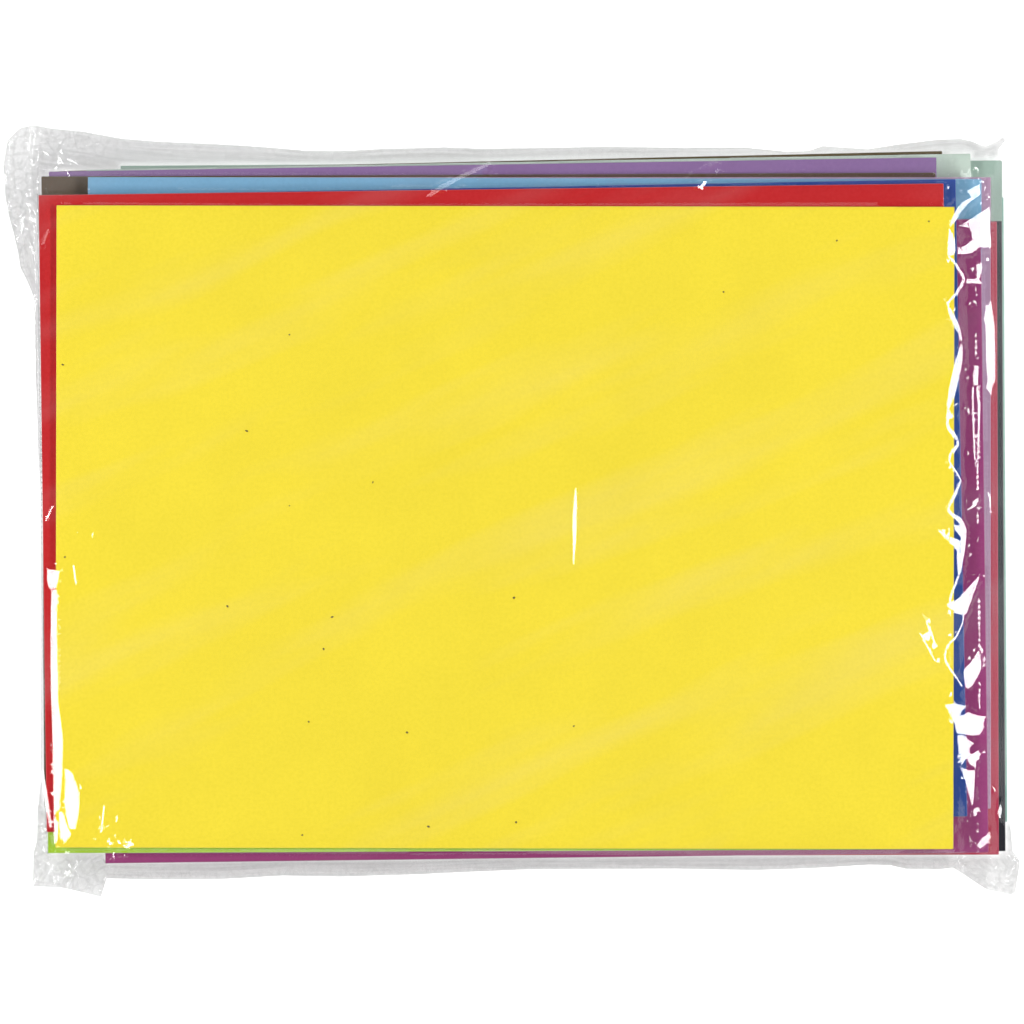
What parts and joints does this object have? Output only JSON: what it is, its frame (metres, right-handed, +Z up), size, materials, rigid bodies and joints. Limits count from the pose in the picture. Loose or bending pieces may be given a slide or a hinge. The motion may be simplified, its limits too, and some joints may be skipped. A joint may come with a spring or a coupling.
{
  "type": "pack of craft foam sheets",
  "caption": "Flat pack of coloured craft foam sheets, lying in a loose pile inside a clear film bag with crumpled corner ears.",
  "frame": {"origin": "middle of the pack's outline, on the surface that it lies on", "axes": "+X along the long side of the sheets, +Y across them, +Z up out of the top sheet"},
  "size_m": [0.4826, 0.367, 0.0354],
  "materials": {
    "foam_yellow": "matt closed-cell foam",
    "foam_red": "matt closed-cell foam",
    "foam_lime": "matt closed-cell foam",
    "foam_blue": "matt closed-cell foam",
    "foam_plum": "matt closed-cell foam",
    "foam_sky": "matt closed-cell foam",
    "foam_lilac": "matt closed-cell foam",
    "foam_brown": "matt closed-cell foam",
    "foam_violet": "matt closed-cell foam",
    "foam_raspberry": "matt closed-cell foam",
    "foam_black": "matt closed-cell foam",
    "foam_olive": "matt closed-cell foam",
    "foam_pale_mint": "matt closed-cell foam",
    "foam_mint": "matt closed-cell foam",
    "foam_sea_green": "matt closed-cell foam",
    "clear_film": "clear glossy film"
  },
  "bodies": {
    "root": {"sheet_yellow": "foam_yellow", "sheet_red": "foam_red", "sheet_lime": "foam_lime", "sheet_blue": "foam_blue", "sheet_plum": "foam_plum", "sheet_sky": "foam_sky", "sheet_lilac": "foam_lilac", "sheet_brown": "foam_brown", "sheet_violet": "foam_violet", "sheet_raspberry": "foam_raspberry", "sheet_black": "foam_black", "sheet_olive": "foam_olive", "sheet_pale_mint": "foam_pale_mint", "sheet_mint": "foam_mint", "sheet_sea_green": "foam_sea_green", "film_bag": "clear_film"}
  },
  "joints": []
}
